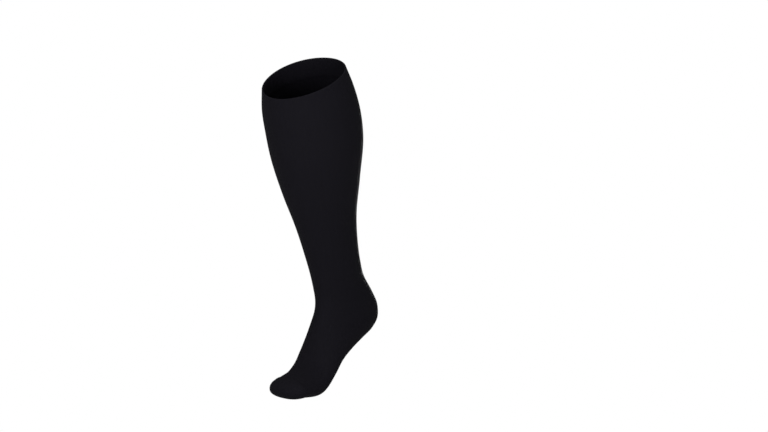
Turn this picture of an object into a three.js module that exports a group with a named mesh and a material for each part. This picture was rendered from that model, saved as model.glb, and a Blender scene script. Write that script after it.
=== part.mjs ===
import * as THREE from 'three';

// A knee-high closed-toe stocking of firm, fine knit: one hollow tube with a heel and a toe pocket.
// It keeps the form that it has in wear, with the heel raised and the toes bent.
// The tube has three lengths that meet edge to edge: the leg, the foot with the heel, and the toe pocket.
// Sizes are in millimetres and degrees. +Z is up, the toes point to -Y, and the leg's inner side is +X.
// The origin is the middle of the top opening.

// The cloth
const WALL = 1.2;
const WELT_WALL = 2.4;
const WELT_DEPTH = 28;
const WELT_STEP = 2.5;

// The pose
const LEG_LEAN = 16.9;
const SOLE_SLOPE = 37.3;
const TOE_SLOPE = 7;

// The top edge: its front lies lower than its back, and its inner side a little lower than its outer.
const TOP_DROP_AT_FRONT = 12.5;
const TOP_SLANT_TO_INNER_SIDE = 0.08;

// The leg, measured as a stocking's size chart does: the girth at each height above the ankle, square
// to the leg. back: how far the section's middle lies behind the ankle's axis. side: its shift inward.
// edge: how much of the top edge's slope the section takes.
const LEG = [
  { at: 'top edge', height: 330, girth: 395, depthToWidth: 1.05, back: 16.5, side: 1.2, edge: 1 },
  { at: 'below the knee', height: 300, girth: 431, depthToWidth: 1.03, back: 16.5, side: 1.2, edge: 1 },
  { at: 'widest calf', height: 268, girth: 446, depthToWidth: 1.04, back: 17.3, side: 1.4, edge: 0.7 },
  { at: 'calf', height: 232, girth: 440, depthToWidth: 1.06, back: 15.5, side: 1.5, edge: 0.35 },
  { at: 'lower calf', height: 170, girth: 368, depthToWidth: 1.1, back: 9.5, side: 0.5, edge: 0 },
  { at: 'shin', height: 115, girth: 290, depthToWidth: 1.15, back: 6, side: 0, edge: 0 },
  { at: 'above the ankle', height: 75, girth: 258, depthToWidth: 1.2, back: 5.2, side: 0, edge: 0 },
  { at: 'ankle', height: 42, girth: 244, depthToWidth: 1.26, back: 5.5, side: 0.3, edge: 0 },
];
const LEG_NARROW = 0.06;
const ELLIPSE = 2;

// The heel pocket and the foot, with the sole level. top and sole: where each section meets the instep
// and the sole, ahead of the ankle's middle and above it. half: half its width. narrow: how much its
// widest place lies below its middle. full: how square its upper and lower halves are, 2 for an ellipse.
const FOOT = [
  { at: 'ankle bend', top: [31.4, 27.1], sole: [-55.4, -6.5], half: 32, narrow: 0.05, full: [2, 2] },
  { at: 'heel back', top: [36.4, 19.8], sole: [-55, -37], half: 32.8, narrow: 0.08, full: [2, 2.1] },
  { at: 'heel tip', top: [41.7, 14.4], sole: [-51.2, -60], half: 34, narrow: 0.12, full: [2, 2.15] },
  { at: 'heel end', top: [47.4, 9.7], sole: [-37.9, -74.8], half: 35.1, narrow: 0.15, full: [2, 2.2] },
  { at: 'under ankle', top: [54.2, 4.8], sole: [-16, -77.4], half: 36.2, narrow: 0.17, full: [2, 2.25] },
  { at: 'arch back', top: [63.3, -1.4], sole: [12, -71.6], half: 36.8, narrow: 0.2, full: [2, 2.3] },
  { at: 'arch', top: [76, -10.6], sole: [44, -64.8], half: 37.2, narrow: 0.22, full: [2, 2.3] },
  { at: 'instep', top: [92.6, -21.5], sole: [76, -60.8], half: 37.4, narrow: 0.25, full: [2.05, 2.35] },
  { at: 'ball', top: [108.4, -30.1], sole: [105, -63.7], half: 38.6, narrow: 0.26, full: [2.05, 2.35] },
];

// The toe pocket, measured in the same way from the ball of the foot, with the toes level.
// slant: how far a section runs ahead on the inner side, where the big toe is.
const BALL = { ahead: 118, up: -50 };
const TOE = [
  { at: 'toes', top: [18.5, 12], sole: [12.5, -25.4], half: 41, narrow: 0.22, full: [2.1, 2.3], slant: 0.12 },
  { at: 'cap', top: [42, 6.3], sole: [43, -23.6], half: 41, narrow: 0.16, full: [2.2, 2.2], slant: 0.27 },
];

// The toe's rounded end
const CAP_LENGTH = 30.2;
const CAP_DROP = 0.2;
const CAP_FULLNESS = { depth: 2.15, width: 2.45 };

// Facets
const POINTS_ROUND = 40;
const RINGS_A_ROW = 2;
const CAP_RINGS = 7;
const EDGE_RINGS = 3;

// Colours
const CLOTH_COLOUR = 0x18171c;
const CLOTH_ROUGHNESS = 0.95;

// A point of the side view, ahead of the ankle's middle and above it, turned so that what lies ahead sinks.
function sidePoint(ahead, up, turnDown) {
  const turn = -THREE.MathUtils.degToRad(turnDown);
  return new THREE.Vector2(ahead, up).rotateAround(new THREE.Vector2(), turn);
}

// Half depth and half width of an ellipse with this girth (Ramanujan's second formula).
function ellipseOfGirth(girth, depthToWidth) {
  const uneven = ((depthToWidth - 1) / (depthToWidth + 1)) ** 2;
  const girthOfUnit = Math.PI * (depthToWidth + 1) * (1 + (3 * uneven) / (10 + Math.sqrt(4 - 3 * uneven)));
  const halfWidth = girth / girthOfUnit;
  return { halfDepth: halfWidth * depthToWidth, halfWidth };
}

// Each section in one form: the points where it meets the front (shin, instep) and the back (calf, sole).
function legSection(row) {
  const { halfDepth, halfWidth } = ellipseOfGirth(row.girth, row.depthToWidth);
  const drop = TOP_DROP_AT_FRONT * row.edge;
  return {
    front: sidePoint(halfDepth - row.back, row.height - drop, LEG_LEAN),
    back: sidePoint(-halfDepth - row.back, row.height + drop, LEG_LEAN),
    halfWidth,
    narrow: LEG_NARROW,
    fullTop: ELLIPSE,
    fullSole: ELLIPSE,
    side: row.side,
    slant: TOP_SLANT_TO_INNER_SIDE * row.edge,
  };
}

function footSection(row) {
  const [fullTop, fullSole] = row.full;
  return {
    front: sidePoint(...row.top, SOLE_SLOPE),
    back: sidePoint(...row.sole, SOLE_SLOPE),
    halfWidth: row.half,
    narrow: row.narrow,
    fullTop,
    fullSole,
    side: 0,
    slant: 0,
  };
}

function toeSection(row) {
  const ball = sidePoint(BALL.ahead, BALL.up, SOLE_SLOPE);
  return {
    ...footSection(row),
    front: sidePoint(...row.top, TOE_SLOPE).add(ball),
    back: sidePoint(...row.sole, TOE_SLOPE).add(ball),
    slant: row.slant,
  };
}

// Smooth values between the rows: a cubic through each row, its slope there the mean of the slopes on
// both sides, weighted to the nearer row.
function smoothThrough(places, values) {
  const lastRow = places.length - 1;
  const rise = (i) => (values[i + 1] - values[i]) / (places[i + 1] - places[i]);
  const slope = (i) => {
    if (i === 0) return rise(0);
    if (i === lastRow) return rise(lastRow - 1);
    const before = places[i] - places[i - 1];
    const after = places[i + 1] - places[i];
    return (rise(i - 1) * after + rise(i) * before) / (before + after);
  };
  return (place) => {
    const next = places.findIndex((p, i) => i > 0 && p >= place);
    const i = next < 0 ? lastRow - 1 : next - 1;
    const span = places[i + 1] - places[i];
    const t = (place - places[i]) / span;
    return (
      values[i] * (1 + 2 * t) * (1 - t) ** 2 +
      slope(i) * span * t * (1 - t) ** 2 +
      values[i + 1] * t * t * (3 - 2 * t) +
      slope(i + 1) * span * t * t * (t - 1)
    );
  };
}

// The distance of each section from the top edge along the cloth, as the mean of its front and back lines.
function placesAlong(sections) {
  const places = [0];
  for (let i = 1; i < sections.length; i += 1) {
    const frontTravel = sections[i].front.distanceTo(sections[i - 1].front);
    const backTravel = sections[i].back.distanceTo(sections[i - 1].back);
    places.push(places[i - 1] + (frontTravel + backTravel) / 2);
  }
  return places;
}

// A function that gives the section at any distance from the top edge.
function sectionFinder(sections, places) {
  const column = (read) => smoothThrough(places, sections.map(read));
  const frontAhead = column((s) => s.front.x);
  const frontUp = column((s) => s.front.y);
  const backAhead = column((s) => s.back.x);
  const backUp = column((s) => s.back.y);
  const halfWidth = column((s) => s.halfWidth);
  const narrow = column((s) => s.narrow);
  const fullTop = column((s) => s.fullTop);
  const fullSole = column((s) => s.fullSole);
  const side = column((s) => s.side);
  const slant = column((s) => s.slant);
  return (place) => ({
    front: new THREE.Vector2(frontAhead(place), frontUp(place)),
    back: new THREE.Vector2(backAhead(place), backUp(place)),
    halfWidth: halfWidth(place),
    narrow: narrow(place),
    fullTop: fullTop(place),
    fullSole: fullSole(place),
    side: side(place),
    slant: slant(place),
  });
}

// A section's lines in the side view: its middle, half its depth to the front, and the way on to the toes.
function linesOf(section) {
  const middle = section.front.clone().add(section.back).multiplyScalar(0.5);
  const halfDepth = section.front.clone().sub(section.back).multiplyScalar(0.5);
  const onward = new THREE.Vector2(halfDepth.y, -halfDepth.x).normalize();
  return { middle, halfDepth, onward };
}

// The ring of one section: a rounded oval across the line from its back to its front, in the model's axes.
function ringOf(section, depthScale = 1, widthScale = 1, shift = new THREE.Vector2()) {
  const { middle, halfDepth, onward } = linesOf(section);
  middle.add(shift);
  const ring = [];
  for (let j = 0; j < POINTS_ROUND; j += 1) {
    const angle = (2 * Math.PI * j) / POINTS_ROUND;
    const toFront = Math.cos(angle);
    const toSide = Math.sin(angle);
    const power = 2 / (toFront > 0 ? section.fullTop : section.fullSole);
    const front = Math.sign(toFront) * Math.abs(toFront) ** power;
    const across = Math.sign(toSide) * Math.abs(toSide) ** power * section.halfWidth * widthScale;
    const depth = (front - section.narrow * (1 - front * front)) * depthScale;
    const x = across + section.side;
    const inSide = middle.clone().addScaledVector(halfDepth, depth);
    inSide.addScaledVector(onward, section.slant * x);
    ring.push(new THREE.Vector3(x, -inSide.x, inSide.y));
  }
  return ring;
}

// Where the rings lie: a few to each row, and one at each end of the welt's inner step.
function ringPlaces(places) {
  const list = [];
  for (let i = 0; i < places.length - 1; i += 1) {
    for (let k = 0; k < RINGS_A_ROW; k += 1) {
      list.push(THREE.MathUtils.lerp(places[i], places[i + 1], k / RINGS_A_ROW));
    }
  }
  list.push(places.at(-1));
  const step = [WELT_DEPTH, WELT_DEPTH + WELT_STEP];
  const clearOfStep = list.filter((place) => step.every((edge) => Math.abs(place - edge) > WELT_STEP));
  return [...clearOfStep, ...step].sort((a, b) => a - b);
}

// How wide a rounded end still is at a share of its reach: a quarter circle at a fullness of 2.
function roundedEnd(reach, fullness) {
  return Math.max(0, 1 - reach ** fullness) ** (1 / fullness);
}

// The toe's end past the last section: rings that shrink along a rounded outline to a single point.
function capRings(last) {
  const { halfDepth, onward } = linesOf(last);
  const rings = [];
  for (let k = 1; k <= CAP_RINGS; k += 1) {
    const reach = Math.sin((Math.PI / 2) * (k / CAP_RINGS));
    const shift = onward.clone().multiplyScalar(CAP_LENGTH * reach);
    shift.addScaledVector(halfDepth, -CAP_DROP * reach * reach);
    const depthScale = roundedEnd(reach, CAP_FULLNESS.depth);
    const widthScale = roundedEnd(reach, CAP_FULLNESS.width);
    rings.push(ringOf(last, depthScale, widthScale, shift));
  }
  return rings;
}

// The outward normal at each point of the outside, from its neighbours along and round the cloth.
function normalsOf(rings, tip) {
  return rings.map((ring, i) =>
    ring.map((point, j) => {
      const before = rings[Math.max(i - 1, 0)][j];
      const after = i + 1 < rings.length ? rings[i + 1][j] : tip;
      const along = after.clone().sub(before);
      const next = ring[(j + 1) % POINTS_ROUND];
      const round = next.clone().sub(ring[(j + POINTS_ROUND - 1) % POINTS_ROUND]);
      return along.cross(round).normalize();
    }),
  );
}

function wallAt(place) {
  const pastWelt = THREE.MathUtils.clamp((place - WELT_DEPTH) / WELT_STEP, 0, 1);
  return THREE.MathUtils.lerp(WELT_WALL, WALL, pastWelt);
}

// The welt's turned top edge: a half round from the outside to the inside of the doubled cloth.
function edgeRings(outside, normals) {
  const rings = [];
  for (let k = 1; k <= EDGE_RINGS; k += 1) {
    const turn = (Math.PI * k) / (EDGE_RINGS + 1);
    rings.push(
      outside[0].map((point, j) => {
        const upward = point.clone().sub(outside[1][j]).normalize();
        return point
          .clone()
          .addScaledVector(normals[0][j], (WELT_WALL / 2) * (Math.cos(turn) - 1))
          .addScaledVector(upward, (WELT_WALL / 2) * Math.sin(turn));
      }),
    );
  }
  return rings;
}

// The faces between two rings, given by the numbers of their first points.
function bandFaces(first, second) {
  const faces = [];
  for (let j = 0; j < POINTS_ROUND; j += 1) {
    const next = (j + 1) % POINTS_ROUND;
    faces.push(first + j, first + next, second + next);
    faces.push(first + j, second + next, second + j);
  }
  return faces;
}

// The same faces with the other diagonal, so that a cut end fits the cut end that it meets.
function crossedBandFaces(first, second) {
  const faces = [];
  for (let j = 0; j < POINTS_ROUND; j += 1) {
    const next = (j + 1) % POINTS_ROUND;
    faces.push(first + j, first + next, second + j);
    faces.push(first + next, second + next, second + j);
  }
  return faces;
}

// The faces from a single point to a ring, or from a ring to a single point.
function fanFaces(point, ring, ringComesFirst) {
  const faces = [];
  for (let j = 0; j < POINTS_ROUND; j += 1) {
    const next = (j + 1) % POINTS_ROUND;
    faces.push(point, ...(ringComesFirst ? [ring + j, ring + next] : [ring + next, ring + j]));
  }
  return faces;
}

function skinOf(points, faces) {
  const geometry = new THREE.BufferGeometry();
  geometry.setFromPoints(points);
  geometry.setIndex(faces);
  geometry.computeVertexNormals();
  return geometry;
}

// A length of tube open at both ends: rings up the outside and down the inside, closed at the cut ends.
function tubeSkin(outside, between, inside) {
  const rings = [...outside.toReversed(), ...between, ...inside];
  const faces = [];
  for (let i = 0; i < rings.length - 1; i += 1) {
    const overCut = between.length === 0 && i === outside.length - 1;
    const band = overCut ? crossedBandFaces : bandFaces;
    faces.push(...band(i * POINTS_ROUND, (i + 1) * POINTS_ROUND));
  }
  faces.push(...bandFaces((rings.length - 1) * POINTS_ROUND, 0));
  return skinOf(rings.flat(), faces);
}

// The closed end of the tube: from the outer tip up the outside, over the cut and down to the inner tip.
function pocketSkin(outside, inside, tip, insideTip) {
  const rings = [...outside.toReversed(), ...inside];
  const innerTip = rings.length * POINTS_ROUND;
  const outerTip = innerTip + 1;
  const faces = fanFaces(outerTip, 0, false);
  for (let i = 0; i < rings.length - 1; i += 1) {
    const band = i === outside.length - 1 ? crossedBandFaces : bandFaces;
    faces.push(...band(i * POINTS_ROUND, (i + 1) * POINTS_ROUND));
  }
  faces.push(...fanFaces(innerTip, (rings.length - 1) * POINTS_ROUND, true));
  return skinOf([...rings.flat(), insideTip, tip], faces);
}

function middleOf(section) {
  const { middle } = linesOf(section);
  return new THREE.Vector3(section.side, -middle.x, middle.y);
}

// The stocking's lengths, cut square through the cloth at the ankle and at the ball of the foot.
function stocking() {
  const sections = [...LEG.map(legSection), ...FOOT.map(footSection), ...TOE.map(toeSection)];
  const places = placesAlong(sections);
  const sectionAt = sectionFinder(sections, places);
  const ringsAt = ringPlaces(places);
  const cap = capRings(sections.at(-1));
  const tip = cap.pop()[0];

  const outside = [...ringsAt.map((place) => ringOf(sectionAt(place))), ...cap];
  const normals = normalsOf(outside, tip);
  const walls = [...ringsAt.map(wallAt), ...cap.map(() => WALL)];
  const inside = outside.map((ring, i) =>
    ring.map((point, j) => point.clone().addScaledVector(normals[i][j], -walls[i])),
  );
  const toeward = tip.clone().sub(middleOf(sections.at(-1))).normalize();
  const insideTip = tip.clone().addScaledVector(toeward, -WALL);

  const ankle = ringsAt.indexOf(places[LEG.length - 1]);
  const ball = ringsAt.indexOf(places[LEG.length + FOOT.length - 1]);
  const lengthOf = (rings, from, to) => rings.slice(from, to + 1);
  const skins = {
    leg: tubeSkin(lengthOf(outside, 0, ankle), edgeRings(outside, normals), lengthOf(inside, 0, ankle)),
    foot: tubeSkin(lengthOf(outside, ankle, ball), [], lengthOf(inside, ankle, ball)),
    toe: pocketSkin(outside.slice(ball), inside.slice(ball), tip, insideTip),
  };

  const cloth = new THREE.MeshStandardMaterial({
    color: CLOTH_COLOUR,
    roughness: CLOTH_ROUGHNESS,
    metalness: 0,
  });
  return Object.entries(skins).map(([name, skin]) => {
    const mesh = new THREE.Mesh(skin, cloth);
    mesh.name = name;
    mesh.position.copy(middleOf(sections[0])).negate();
    return mesh;
  });
}

const model = new THREE.Group();
model.add(...stocking());

export default model;
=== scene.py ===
import math

import bpy
import numpy as np
from mathutils import Matrix, Vector


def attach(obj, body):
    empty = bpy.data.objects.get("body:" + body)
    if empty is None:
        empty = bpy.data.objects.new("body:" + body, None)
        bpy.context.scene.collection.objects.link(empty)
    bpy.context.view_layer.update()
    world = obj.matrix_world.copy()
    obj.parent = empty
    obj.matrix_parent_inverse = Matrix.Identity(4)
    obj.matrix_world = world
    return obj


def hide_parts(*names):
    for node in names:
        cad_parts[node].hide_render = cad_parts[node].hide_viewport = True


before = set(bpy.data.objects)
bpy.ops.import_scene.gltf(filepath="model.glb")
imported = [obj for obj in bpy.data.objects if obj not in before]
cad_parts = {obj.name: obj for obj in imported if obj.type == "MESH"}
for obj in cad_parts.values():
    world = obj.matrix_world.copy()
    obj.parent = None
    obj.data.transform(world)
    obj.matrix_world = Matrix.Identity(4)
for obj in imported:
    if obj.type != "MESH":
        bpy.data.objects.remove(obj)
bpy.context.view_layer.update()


# Camera
# A long lens, a little above the ankle's height, ahead of the stocking and to its inner side.
ANKLE = Vector((-0.0012, 0.0801, -0.3206))
CAMERA_AZIMUTH = math.radians(37.9)
CAMERA_ELEVATION = math.radians(3.11)
CAMERA_DISTANCE = 3.0
CAMERA_LENS = 94.64
CAMERA_TO_RIGHT = 0.0689
CAMERA_TO_TOP = 0.118

to_camera = Vector((
    math.sin(CAMERA_AZIMUTH) * math.cos(CAMERA_ELEVATION),
    -math.cos(CAMERA_AZIMUTH) * math.cos(CAMERA_ELEVATION),
    math.sin(CAMERA_ELEVATION),
))
image_right = Vector((math.cos(CAMERA_AZIMUTH), math.sin(CAMERA_AZIMUTH), 0))
image_up = to_camera.cross(image_right)

camera = bpy.data.objects.new("camera", bpy.data.cameras.new("camera"))
camera.data.lens = CAMERA_LENS
camera.data.sensor_width = 36
camera.location = (
    ANKLE + to_camera * CAMERA_DISTANCE + image_right * CAMERA_TO_RIGHT + image_up * CAMERA_TO_TOP
)
camera.rotation_euler = Matrix((image_right, image_up, to_camera)).transposed().to_euler()
bpy.context.collection.objects.link(camera)
bpy.context.scene.camera = camera


# Light and floor
# A white room in soft, frontal light: a lamp on each side of the camera, one overhead, one high on
# the left, a weak one behind, and the white floor's glow from below.
FLOOR_LEVEL = -0.4614
FLOOR_HALF = 30
ROOM_GLOW = 0.07
FLOOR_GLOW = 0.42
BACKDROP_WHITE = 1.0

scene = bpy.context.scene
scene.view_settings.view_transform = "Standard"


def white_room(tree, shader_type, light):
    """Fills a node tree with plain light, which the camera sees at full white and the cloth gets
    at the given level."""
    tree.nodes.clear()
    is_world = shader_type == "ShaderNodeBackground"
    out = tree.nodes.new("ShaderNodeOutputWorld" if is_world else "ShaderNodeOutputMaterial")
    seen = tree.nodes.new(shader_type)
    cast = tree.nodes.new(shader_type)
    seen.inputs["Strength"].default_value = BACKDROP_WHITE
    cast.inputs["Strength"].default_value = light
    for node in (seen, cast):
        node.inputs["Color"].default_value = (1, 1, 1, 1)
    path = tree.nodes.new("ShaderNodeLightPath")
    mix = tree.nodes.new("ShaderNodeMixShader")
    tree.links.new(path.outputs["Is Camera Ray"], mix.inputs[0])
    tree.links.new(cast.outputs[0], mix.inputs[1])
    tree.links.new(seen.outputs[0], mix.inputs[2])
    tree.links.new(mix.outputs[0], out.inputs["Surface"])


world = bpy.data.worlds.new("white_room")
world.use_nodes = True
white_room(world.node_tree, "ShaderNodeBackground", ROOM_GLOW)
scene.world = world

floor_mesh = bpy.data.meshes.new("floor")
floor_mesh.from_pydata(
    [
        (-FLOOR_HALF, -FLOOR_HALF, FLOOR_LEVEL),
        (FLOOR_HALF, -FLOOR_HALF, FLOOR_LEVEL),
        (FLOOR_HALF, FLOOR_HALF, FLOOR_LEVEL),
        (-FLOOR_HALF, FLOOR_HALF, FLOOR_LEVEL),
    ],
    [],
    [(0, 1, 2, 3)],
)
floor = bpy.data.objects.new("floor", floor_mesh)
floor_white = bpy.data.materials.new("floor_white")
floor_white.use_nodes = True
white_room(floor_white.node_tree, "ShaderNodeEmission", FLOOR_GLOW)
floor_mesh.materials.append(floor_white)
bpy.context.collection.objects.link(floor)

STOCKING_MIDDLE = Vector((0, 0.05, -0.21))


def soft_light(name, turn, distance, height, size, power):
    """A round lamp turned towards the stocking's middle: turn degrees to the camera's right of it,
    at a level distance, and height above it."""
    angle = CAMERA_AZIMUTH + math.radians(turn)
    offset = Vector((math.sin(angle) * distance, -math.cos(angle) * distance, height))
    lamp = bpy.data.lights.new(name, "AREA")
    lamp.shape = "DISK"
    lamp.size = size
    lamp.energy = power
    holder = bpy.data.objects.new(name, lamp)
    holder.location = STOCKING_MIDDLE + offset
    holder.rotation_euler = offset.to_track_quat("Z", "Y").to_euler()
    bpy.context.collection.objects.link(holder)


soft_light("left_lamp", -24, 1.2, 0.05, 0.45, 5.6)
soft_light("right_lamp", 24, 1.2, 0.05, 0.45, 5.4)
soft_light("top_lamp", 0, 0.3, 1.6, 1.0, 14)
soft_light("high_left_lamp", -75, 1.3, 0.9, 0.7, 4.0)
soft_light("back_lamp", 168, 1.6, -0.1, 0.6, 9)


# Stocking
# A knee-high stocking of fine circular knit: polyamide loops with an inlaid elastic thread, narrowed
# to the ankle by the stitch length, with a heel and a toe pocket. The top welt is turned in and
# doubled. It has its worn form, stretched over a foot with the heel raised and the toes bent.
MM = 0.001
WALL = 1.2
WELT_WALL = 2.4
WELT_DEPTH = 28
WELT_STEP = 2.5
LEG_LEAN = 16.9
SOLE_SLOPE = 37.3
TOE_SLOPE = 7
TOP_DROP_AT_FRONT = 12.5
TOP_SLANT_TO_INNER_SIDE = 0.08
LEG_NARROW = 0.06
# Each leg section: height above the ankle, girth, depth to width, back, side, and its share of the
# top edge's slope.
LEG = [
    (330, 395, 1.05, 16.5, 1.2, 1),  # top edge
    (300, 431, 1.03, 16.5, 1.2, 1),  # below the knee
    (268, 446, 1.04, 17.3, 1.4, 0.7),  # widest calf
    (232, 440, 1.06, 15.5, 1.5, 0.35),  # calf
    (170, 368, 1.1, 9.5, 0.5, 0),  # lower calf
    (115, 290, 1.15, 6, 0, 0),  # shin
    (75, 258, 1.2, 5.2, 0, 0),  # above the ankle
    (42, 244, 1.26, 5.5, 0.3, 0),  # ankle
]
# Each foot section: instep point and sole point ahead of the ankle and above it, half width, how far
# its widest place lies low, and how full its upper and its lower half are. The sole is level here.
FOOT = [
    ((31.4, 27.1), (-55.4, -6.5), 32, 0.05, 2, 2),  # ankle bend
    ((36.4, 19.8), (-55, -37), 32.8, 0.08, 2, 2.1),  # heel back
    ((41.7, 14.4), (-51.2, -60), 34, 0.12, 2, 2.15),  # heel tip
    ((47.4, 9.7), (-37.9, -74.8), 35.1, 0.15, 2, 2.2),  # heel end
    ((54.2, 4.8), (-16, -77.4), 36.2, 0.17, 2, 2.25),  # under the ankle
    ((63.3, -1.4), (12, -71.6), 36.8, 0.2, 2, 2.3),  # arch, back
    ((76, -10.6), (44, -64.8), 37.2, 0.22, 2, 2.3),  # arch
    ((92.6, -21.5), (76, -60.8), 37.4, 0.25, 2.05, 2.35),  # instep
    ((108.4, -30.1), (105, -63.7), 38.6, 0.26, 2.05, 2.35),  # ball
]
BALL = (118, -50)
# Each toe section in the same form, from the ball, with its slant to the big toe.
TOE = [
    ((18.5, 12), (12.5, -25.4), 41, 0.22, 2.1, 2.3, 0.12),  # toes
    ((42, 6.3), (43, -23.6), 41, 0.16, 2.2, 2.2, 0.27),  # cap
]
CAP_LENGTH = 30.2
CAP_DROP = 0.2
CAP_FULLNESS = (2.15, 2.45)
POINTS_ROUND = 160
RINGS = 230
CAP_RINGS = 28
EDGE_RINGS = 9
# The knit: wales round the tube, and the height of a course.
WALES = 360
COURSE = 0.75
# Where the knit turns from the leg's direction to the foot's: a slanting plane from the bend in
# front of the ankle to the heel. Its point is given ahead of the ankle's middle and above it.
BEND = (41.2, -5)
ARCH_ROW = 13
ARCH_BLEND = 12
STITCH_SLANT = 1.4
LOOP_DEPTH = 1.4
LOOP_FLOOR = 0.3
STITCH_RELIEF = 0.0003
RELIEF_STRENGTH = 0.5
# The faint uneven wales: how many round the tube, and how slowly they change along it.
STREAKS = 24
STREAK_ALONG = 0.012
KNIT_DARK = (0.0061, 0.0056, 0.0080, 1)
KNIT_LIGHT = (0.0080, 0.0074, 0.0106, 1)
KNIT_ROUGHNESS = 0.68
KNIT_ROUGHNESS_SPREAD = 0.12
KNIT_SPECULAR = 0.05
KNIT_SHEEN = 0.004
KNIT_SHEEN_ROUGHNESS = 0.4


def side_point(ahead, up, turn_down):
    """A point of the side view turned about the ankle's middle: (ahead, up) rotated by minus
    turn_down degrees."""
    c, s = math.cos(math.radians(turn_down)), math.sin(math.radians(turn_down))
    return np.array([ahead * c + up * s, up * c - ahead * s])


def section_rows():
    """One row per section: front ahead, front up, back ahead, back up, half width, narrow, full top,
    full sole, side, slant. A leg section is an ellipse of the row's girth by Ramanujan's formula,
    square to the leaning leg."""
    rows = []
    for height, girth, depth_to_width, back, side, edge in LEG:
        uneven = ((depth_to_width - 1) / (depth_to_width + 1)) ** 2
        unit = math.pi * (depth_to_width + 1) * (1 + 3 * uneven / (10 + math.sqrt(4 - 3 * uneven)))
        half_width = girth / unit
        half_depth = half_width * depth_to_width
        drop = TOP_DROP_AT_FRONT * edge
        front = side_point(half_depth - back, height - drop, LEG_LEAN)
        rear = side_point(-half_depth - back, height + drop, LEG_LEAN)
        slant = TOP_SLANT_TO_INNER_SIDE * edge
        rows.append((*front, *rear, half_width, LEG_NARROW, 2, 2, side, slant))
    for top, sole, half_width, narrow, full_top, full_sole in FOOT:
        front, rear = side_point(*top, SOLE_SLOPE), side_point(*sole, SOLE_SLOPE)
        rows.append((*front, *rear, half_width, narrow, full_top, full_sole, 0, 0))
    ball = side_point(*BALL, SOLE_SLOPE)
    for top, sole, half_width, narrow, full_top, full_sole, slant in TOE:
        front, rear = side_point(*top, TOE_SLOPE) + ball, side_point(*sole, TOE_SLOPE) + ball
        rows.append((*front, *rear, half_width, narrow, full_top, full_sole, 0, slant))
    return np.array(rows, float)


def smooth_through(places, rows, at):
    """A cubic through each row: its slope there is the mean of the slopes on both sides, weighted to
    the nearer row."""
    step = np.diff(places)
    rise = np.diff(rows, axis=0) / step[:, None]
    slope = np.empty_like(rows)
    slope[0], slope[-1] = rise[0], rise[-1]
    before, after = step[:-1, None], step[1:, None]
    slope[1:-1] = (rise[:-1] * after + rise[1:] * before) / (before + after)
    i = np.clip(np.searchsorted(places, at) - 1, 0, len(step) - 1)
    t = ((at - places[i]) / step[i])[:, None]
    span = step[i][:, None]
    return (
        rows[i] * (1 + 2 * t) * (1 - t) ** 2
        + slope[i] * span * t * (1 - t) ** 2
        + rows[i + 1] * t * t * (3 - 2 * t)
        + slope[i + 1] * span * t * t * (t - 1)
    )


def rings_of(sections, depth_scale, width_scale, shift):
    """Rounded ovals (rings x points x 3): |cos|^(2/full) in depth and |sin|^(2/full) across, with the
    depth lowered by narrow (1 - front^2), and each point moved onward by slant times its x."""
    angle = 2 * np.pi * np.arange(POINTS_ROUND) / POINTS_ROUND
    c, s = np.cos(angle)[None], np.sin(angle)[None]
    front_up, back_up = sections[:, 0:2], sections[:, 2:4]
    middle, half = (front_up + back_up) / 2 + shift, (front_up - back_up) / 2
    onward = np.stack([half[:, 1], -half[:, 0]], 1)
    onward /= np.linalg.norm(onward, axis=1)[:, None]
    half_width, narrow, full_top, full_sole, side, slant = sections[:, 4:10].T[..., None]
    power = 2 / np.where(c > 0, full_top, full_sole)
    front = np.sign(c) * np.abs(c) ** power
    x = np.sign(s) * np.abs(s) ** power * half_width * width_scale[:, None] + side
    depth = (front - narrow * (1 - front**2)) * depth_scale[:, None]
    ahead = middle[:, 0, None] + half[:, 0, None] * depth + onward[:, 0, None] * slant * x
    up = middle[:, 1, None] + half[:, 1, None] * depth + onward[:, 1, None] * slant * x
    return np.stack([x, -ahead, up], 2)


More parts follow.
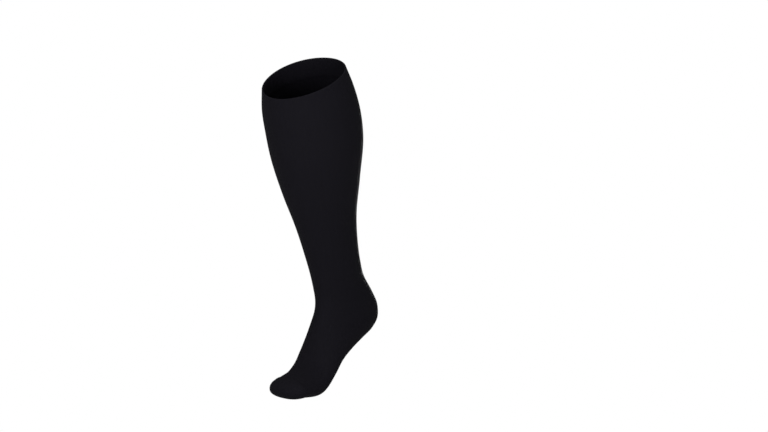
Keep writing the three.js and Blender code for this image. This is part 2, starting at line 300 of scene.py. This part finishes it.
def stocking_skin():
    """The closed skin of the cloth as rings from the toe's tip over the outside, round the turned top
    edge and down the inside to the toe again, with its wales and courses. A point's wale is its share
    of the way round its ring. Its foot course is its distance from the bend along the foot, and past
    the arch its ring's distance along the cloth."""
    rows = section_rows()
    front_travel = np.linalg.norm(np.diff(rows[:, 0:2], axis=0), axis=1)
    back_travel = np.linalg.norm(np.diff(rows[:, 2:4], axis=0), axis=1)
    places = np.concatenate([[0], np.cumsum((front_travel + back_travel) / 2)])
    at = np.linspace(0, places[-1], RINGS)
    ones = np.ones(RINGS)
    leg = rings_of(smooth_through(places, rows, at), ones, ones, 0)

    last = np.repeat(rows[-1:], CAP_RINGS, 0)
    half = (last[:, 0:2] - last[:, 2:4]) / 2
    onward = np.stack([half[:, 1], -half[:, 0]], 1) / np.linalg.norm(half, axis=1)[:, None]
    reach = np.sin(np.pi / 2 * np.arange(1, CAP_RINGS + 1) / CAP_RINGS)[:, None]
    shift = onward * CAP_LENGTH * reach - half * CAP_DROP * reach**2
    narrowing = [np.maximum(0, 1 - reach[:, 0] ** f) ** (1 / f) for f in CAP_FULLNESS]
    cap = rings_of(last, *narrowing, shift)
    tip = cap[-1, 0]
    outside = np.concatenate([leg, cap[:-1]])
    at = np.concatenate([at, places[-1] + CAP_LENGTH * np.arcsin(reach[:-1, 0])])

    before = np.concatenate([outside[:1], outside[:-1]])
    after = np.concatenate([outside[1:], np.broadcast_to(tip, (1, POINTS_ROUND, 3))])
    around = np.roll(outside, -1, 1) - np.roll(outside, 1, 1)
    normal = np.cross(after - before, around)
    normal /= np.linalg.norm(normal, axis=2, keepdims=True)
    wall = WELT_WALL + (WALL - WELT_WALL) * np.clip((at - WELT_DEPTH) / WELT_STEP, 0, 1)
    inside = outside - normal * wall[:, None, None]

    turn = (np.pi * np.arange(1, EDGE_RINGS + 1) / (EDGE_RINGS + 1))[:, None, None]
    upward = outside[:1] - outside[1:2]
    upward /= np.linalg.norm(upward, axis=2, keepdims=True)
    edge = outside[:1] + WELT_WALL / 2 * ((np.cos(turn) - 1) * normal[:1] + np.sin(turn) * upward)
    cap_middle = rings_of(rows[-1:], np.ones(1), np.ones(1), 0)[0].mean(0)
    inside_tip = tip - WALL * (tip - cap_middle) / np.linalg.norm(tip - cap_middle)

    first = smooth_through(places, rows, np.zeros(1))[0]
    origin = np.array([first[8], -(first[0] + first[2]) / 2, (first[1] + first[3]) / 2])
    down = np.arange(len(outside))
    order = np.concatenate([down[::-1], np.zeros(EDGE_RINGS, int), down])
    rings = np.concatenate([outside[::-1], edge, inside])

    step = np.linalg.norm(np.roll(outside, -1, 1) - outside, axis=2)
    wale = np.concatenate([np.zeros((len(outside), 1)), np.cumsum(step, 1)], 1)
    wale *= WALES / wale[:, -1:]
    slope = math.radians(SOLE_SLOPE)
    ahead_of_bend = -(outside[..., 1] + BEND[0])
    below_bend = BEND[1] - outside[..., 2]
    onto_foot = ahead_of_bend * math.cos(slope) + below_bend * math.sin(slope)
    arch = places[ARCH_ROW]
    arch_ring = np.searchsorted(at, arch)
    along = onto_foot[arch_ring].mean() + at - at[arch_ring]
    past_arch = np.clip((at - arch) / ARCH_BLEND, 0, 1)[:, None]
    course = (onto_foot * (1 - past_arch) + along[:, None] * past_arch) / COURSE
    skin = {"rings": (rings - origin) * MM, "wale": wale[order], "course": course[order]}
    skin["tips"] = ((tip - origin) * MM, (inside_tip - origin) * MM)
    surface = {"outside": (outside - origin) * MM, "normal": normal, "at": at, "places": places}
    return skin, surface


def closed_mesh(name, rings, tips, wale, course):
    """A mesh over rings in order, with one point at each end. Its UV layer Knit holds the wale number
    round the tube and the course number along the foot."""
    count, n = rings.shape[:2]
    points = np.concatenate([tips[0][None], rings.reshape(-1, 3), tips[1][None]])
    j = np.arange(n)
    i = np.arange(count - 1)[:, None]
    a = 1 + i * n + j
    b = 1 + i * n + (j + 1) % n
    quads = np.stack([a, b, b + n, a + n], 2).reshape(-1, 4)
    end_row = 1 + (count - 1) * n
    start = np.stack([np.zeros(n, int), b[0], a[0]], 1)
    end = np.stack([np.full(n, len(points) - 1), end_row + j, end_row + (j + 1) % n], 1)
    mesh = bpy.data.meshes.new(name)
    mesh.from_pydata(points.tolist(), [], quads.tolist() + start.tolist() + end.tolist())

    course = np.concatenate([course, course[:, :1]], 1)
    uv = np.stack([wale, course], 2)
    quad_uv = np.stack([uv[:-1, :-1], uv[:-1, 1:], uv[1:, 1:], uv[1:, :-1]], 2).reshape(-1, 2)
    between = (uv[:, :-1] + uv[:, 1:]) / 2
    start_uv = np.stack([between[0], uv[0, 1:], uv[0, :-1]], 1).reshape(-1, 2)
    end_uv = np.stack([between[-1], uv[-1, :-1], uv[-1, 1:]], 1).reshape(-1, 2)
    layer = mesh.uv_layers.new(name="Knit")
    uvs = np.concatenate([quad_uv, start_uv, end_uv])
    layer.data.foreach_set("uv", uvs.ravel().astype(np.float32))
    mesh.polygons.foreach_set("use_smooth", np.ones(len(mesh.polygons), bool))
    mesh.update()
    piece = bpy.data.objects.new(name, mesh)
    bpy.context.collection.objects.link(piece)
    return piece


def knit_material():
    """Near-black fine knit: V-shaped stitches by wale and course as bump, and faint uneven wales in
    colour and roughness."""
    material = bpy.data.materials.new("knit")
    material.use_nodes = True
    tree = material.node_tree
    shader = tree.nodes["Principled BSDF"]
    shader.inputs["Specular IOR Level"].default_value = KNIT_SPECULAR
    shader.inputs["Sheen Weight"].default_value = KNIT_SHEEN
    shader.inputs["Sheen Roughness"].default_value = KNIT_SHEEN_ROUGHNESS

    def math_node(operation, *values):
        node = tree.nodes.new("ShaderNodeMath")
        node.operation = operation
        for socket, value in zip(node.inputs, values):
            if isinstance(value, (int, float)):
                socket.default_value = value
            else:
                tree.links.new(value, socket)
        return node.outputs[0]

    def distance_along(direction, start):
        node = tree.nodes.new("ShaderNodeVectorMath")
        node.operation = "DOT_PRODUCT"
        tree.links.new(place.outputs["Object"], node.inputs[0])
        node.inputs[1].default_value = direction
        return math_node("SUBTRACT", node.outputs["Value"], Vector(direction).dot(start))

    uv = tree.nodes.new("ShaderNodeUVMap")
    uv.uv_map = "Knit"
    split = tree.nodes.new("ShaderNodeSeparateXYZ")
    tree.links.new(uv.outputs[0], split.inputs[0])
    wale, foot_course = split.outputs["X"], split.outputs["Y"]

    place = tree.nodes.new("ShaderNodeTexCoord")
    bend = ANKLE + Vector((0, -BEND[0], BEND[1])) * MM
    lean, slope = math.radians(LEG_LEAN), math.radians(SOLE_SLOPE)
    down_leg = Vector((0, math.sin(lean), -math.cos(lean)))
    along_foot = Vector((0, -math.cos(slope), -math.sin(slope)))
    leg_course = math_node("DIVIDE", distance_along(down_leg, bend), COURSE * MM)
    past_bend = distance_along((down_leg + along_foot).normalized(), bend)
    on_foot = math_node("GREATER_THAN", past_bend, 0)
    course = math_node(
        "ADD",
        math_node("MULTIPLY", leg_course, math_node("SUBTRACT", 1, on_foot)),
        math_node("MULTIPLY", foot_course, on_foot),
    )

    across = math_node("ABSOLUTE", math_node("SUBTRACT", math_node("FRACT", wale), 0.5))
    leg = math_node("SINE", math_node("MULTIPLY", across, 2 * math.pi))
    slanted = math_node("ADD", course, math_node("MULTIPLY", across, STITCH_SLANT))
    loop = math_node("PINGPONG", slanted, 0.5)
    loop_height = math_node("ADD", math_node("MULTIPLY", loop, LOOP_DEPTH), LOOP_FLOOR)
    height = math_node("MULTIPLY", leg, loop_height)

    turn = math_node("MULTIPLY", wale, 2 * math.pi / WALES)
    streak_place = tree.nodes.new("ShaderNodeCombineXYZ")
    streak_parts = (
        ("X", math_node("COSINE", turn), STREAKS),
        ("Y", math_node("SINE", turn), STREAKS),
        ("Z", course, STREAK_ALONG),
    )
    for axis, value, scale in streak_parts:
        tree.links.new(math_node("MULTIPLY", value, scale), streak_place.inputs[axis])
    streak = tree.nodes.new("ShaderNodeTexNoise")
    streak.inputs["Scale"].default_value = 1
    streak.inputs["Detail"].default_value = 3
    tree.links.new(streak_place.outputs[0], streak.inputs["Vector"])

    colour = tree.nodes.new("ShaderNodeMix")
    colour.data_type = "RGBA"
    colour.inputs["A"].default_value = KNIT_DARK
    colour.inputs["B"].default_value = KNIT_LIGHT
    tree.links.new(streak.outputs["Fac"], colour.inputs["Factor"])
    tree.links.new(colour.outputs["Result"], shader.inputs["Base Color"])
    spread = math_node("MULTIPLY", streak.outputs["Fac"], KNIT_ROUGHNESS_SPREAD)
    tree.links.new(math_node("ADD", spread, KNIT_ROUGHNESS), shader.inputs["Roughness"])

    bump = tree.nodes.new("ShaderNodeBump")
    bump.inputs["Strength"].default_value = RELIEF_STRENGTH
    bump.inputs["Distance"].default_value = STITCH_RELIEF
    tree.links.new(height, bump.inputs["Height"])
    tree.links.new(bump.outputs["Normal"], shader.inputs["Normal"])
    return material


skin, surface = stocking_skin()
stocking = closed_mesh("stocking_cloth", **skin)
stocking.data.materials.append(knit_material())
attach(stocking, "root")
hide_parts("leg", "foot", "toe")


# Toe seam
# The linking that closes the toe: one row of loops chained together, flat across the top of the
# toes. It is a fine ridge of the stocking's own yarn.
SEAM_PAST_CAP = 5
SEAM_HALF_TURN = math.radians(84)
SEAM_WIDTH = 1.5
SEAM_HEIGHT = 0.8
SEAM_STITCH = 1.3
SEAM_THIN = 0.72
SEAM_THICK = 1.0
SEAM_END = 0.03
SEAM_STEPS = 420
SEAM_POINTS = 12
# Painted shade in the twist's grooves and a painted highlight on its ribs, about the yarn's own
# colour.
YARN_SHADED_GROOVE = (0.0055, 0.0051, 0.0072, 1)
YARN_LIT_CREST = (0.0078, 0.0072, 0.0103, 1)
YARN_SPECULAR = 0.05
YARN_ROUGHNESS = 0.75
YARN_TWIST = 1.2
YARN_UNEVEN = 0.6
YARN_RELIEF = 0.0002
YARN_RELIEF_STRENGTH = 0.6


def ridge_on_ring(points, normals, half_turn):
    """A chained ridge that follows a ring of the surface from -half_turn to half_turn about its top:
    an ellipse across the path, (cos, sin) times half the width and height, thicker in the middle of
    each stitch, and drawn to a point at both ends."""
    angle = 2 * np.pi * np.arange(len(points)) / len(points)
    t = np.linspace(0, 1, SEAM_STEPS)
    where = (2 * t - 1) * half_turn
    columns = np.concatenate([points, normals], 1).T
    path = np.stack([np.interp(where, angle, column, period=2 * np.pi) for column in columns], 1)
    centre, up = path[:, :3], path[:, 3:]
    up /= np.linalg.norm(up, axis=1)[:, None]
    ahead = np.gradient(centre, axis=0)
    length = np.concatenate([[0], np.cumsum(np.linalg.norm(np.diff(centre, axis=0), axis=1))])
    ahead /= np.linalg.norm(ahead, axis=1)[:, None]
    across = np.cross(up, ahead)
    stitch = length / (SEAM_STITCH * MM)
    thick = SEAM_THIN + (SEAM_THICK - SEAM_THIN) * np.abs(np.sin(np.pi * stitch))
    thick *= np.sqrt(np.clip(np.minimum(t, 1 - t) / SEAM_END, 0.001, 1))
    turn = 2 * np.pi * np.arange(SEAM_POINTS) / SEAM_POINTS
    side = (SEAM_WIDTH / 2 * MM * thick)[:, None, None] * np.cos(turn)[:, None] * across[:, None]
    rise = (SEAM_HEIGHT / 2 * MM * thick)[:, None, None] * np.sin(turn)[:, None] * up[:, None]
    rings = centre[:, None] + side + rise
    strand = 2 * np.arange(SEAM_POINTS + 1) / SEAM_POINTS
    return {
        "rings": rings,
        "tips": (centre[0], centre[-1]),
        "wale": np.broadcast_to(strand, (SEAM_STEPS, SEAM_POINTS + 1)),
        "course": np.broadcast_to(stitch[:, None], (SEAM_STEPS, SEAM_POINTS)),
    }


def yarn_material():
    """The same near-black yarn, twisted: slanting ribs from the stitch number and the turn round the
    ridge, with painted shade in the grooves and a painted highlight on the ribs."""
    material = bpy.data.materials.new("seam_yarn")
    material.use_nodes = True
    tree = material.node_tree
    shader = tree.nodes["Principled BSDF"]
    shader.inputs["Specular IOR Level"].default_value = YARN_SPECULAR
    shader.inputs["Roughness"].default_value = YARN_ROUGHNESS
    uv = tree.nodes.new("ShaderNodeUVMap")
    uv.uv_map = "Knit"
    twist = tree.nodes.new("ShaderNodeTexWave")
    twist.wave_type = "BANDS"
    twist.bands_direction = "DIAGONAL"
    twist.inputs["Scale"].default_value = YARN_TWIST
    twist.inputs["Distortion"].default_value = YARN_UNEVEN
    tree.links.new(uv.outputs[0], twist.inputs["Vector"])
    # Painted shade and highlight: the colour darkens in the twist's grooves and lightens on its ribs.
    colour = tree.nodes.new("ShaderNodeMix")
    colour.data_type = "RGBA"
    colour.inputs["A"].default_value = YARN_SHADED_GROOVE
    colour.inputs["B"].default_value = YARN_LIT_CREST
    tree.links.new(twist.outputs["Fac"], colour.inputs["Factor"])
    tree.links.new(colour.outputs["Result"], shader.inputs["Base Color"])
    bump = tree.nodes.new("ShaderNodeBump")
    bump.inputs["Strength"].default_value = YARN_RELIEF_STRENGTH
    bump.inputs["Distance"].default_value = YARN_RELIEF
    tree.links.new(twist.outputs["Fac"], bump.inputs["Height"])
    tree.links.new(bump.outputs["Normal"], shader.inputs["Normal"])
    return material


seam_ring = np.searchsorted(surface["at"], surface["places"][-1] + SEAM_PAST_CAP)
seam_points, seam_normals = surface["outside"][seam_ring], surface["normal"][seam_ring]
ridge = ridge_on_ring(seam_points, seam_normals, SEAM_HALF_TURN)
toe_seam = closed_mesh("toe_seam", **ridge)
toe_seam.data.materials.append(yarn_material())
toe_seam.parent = stocking
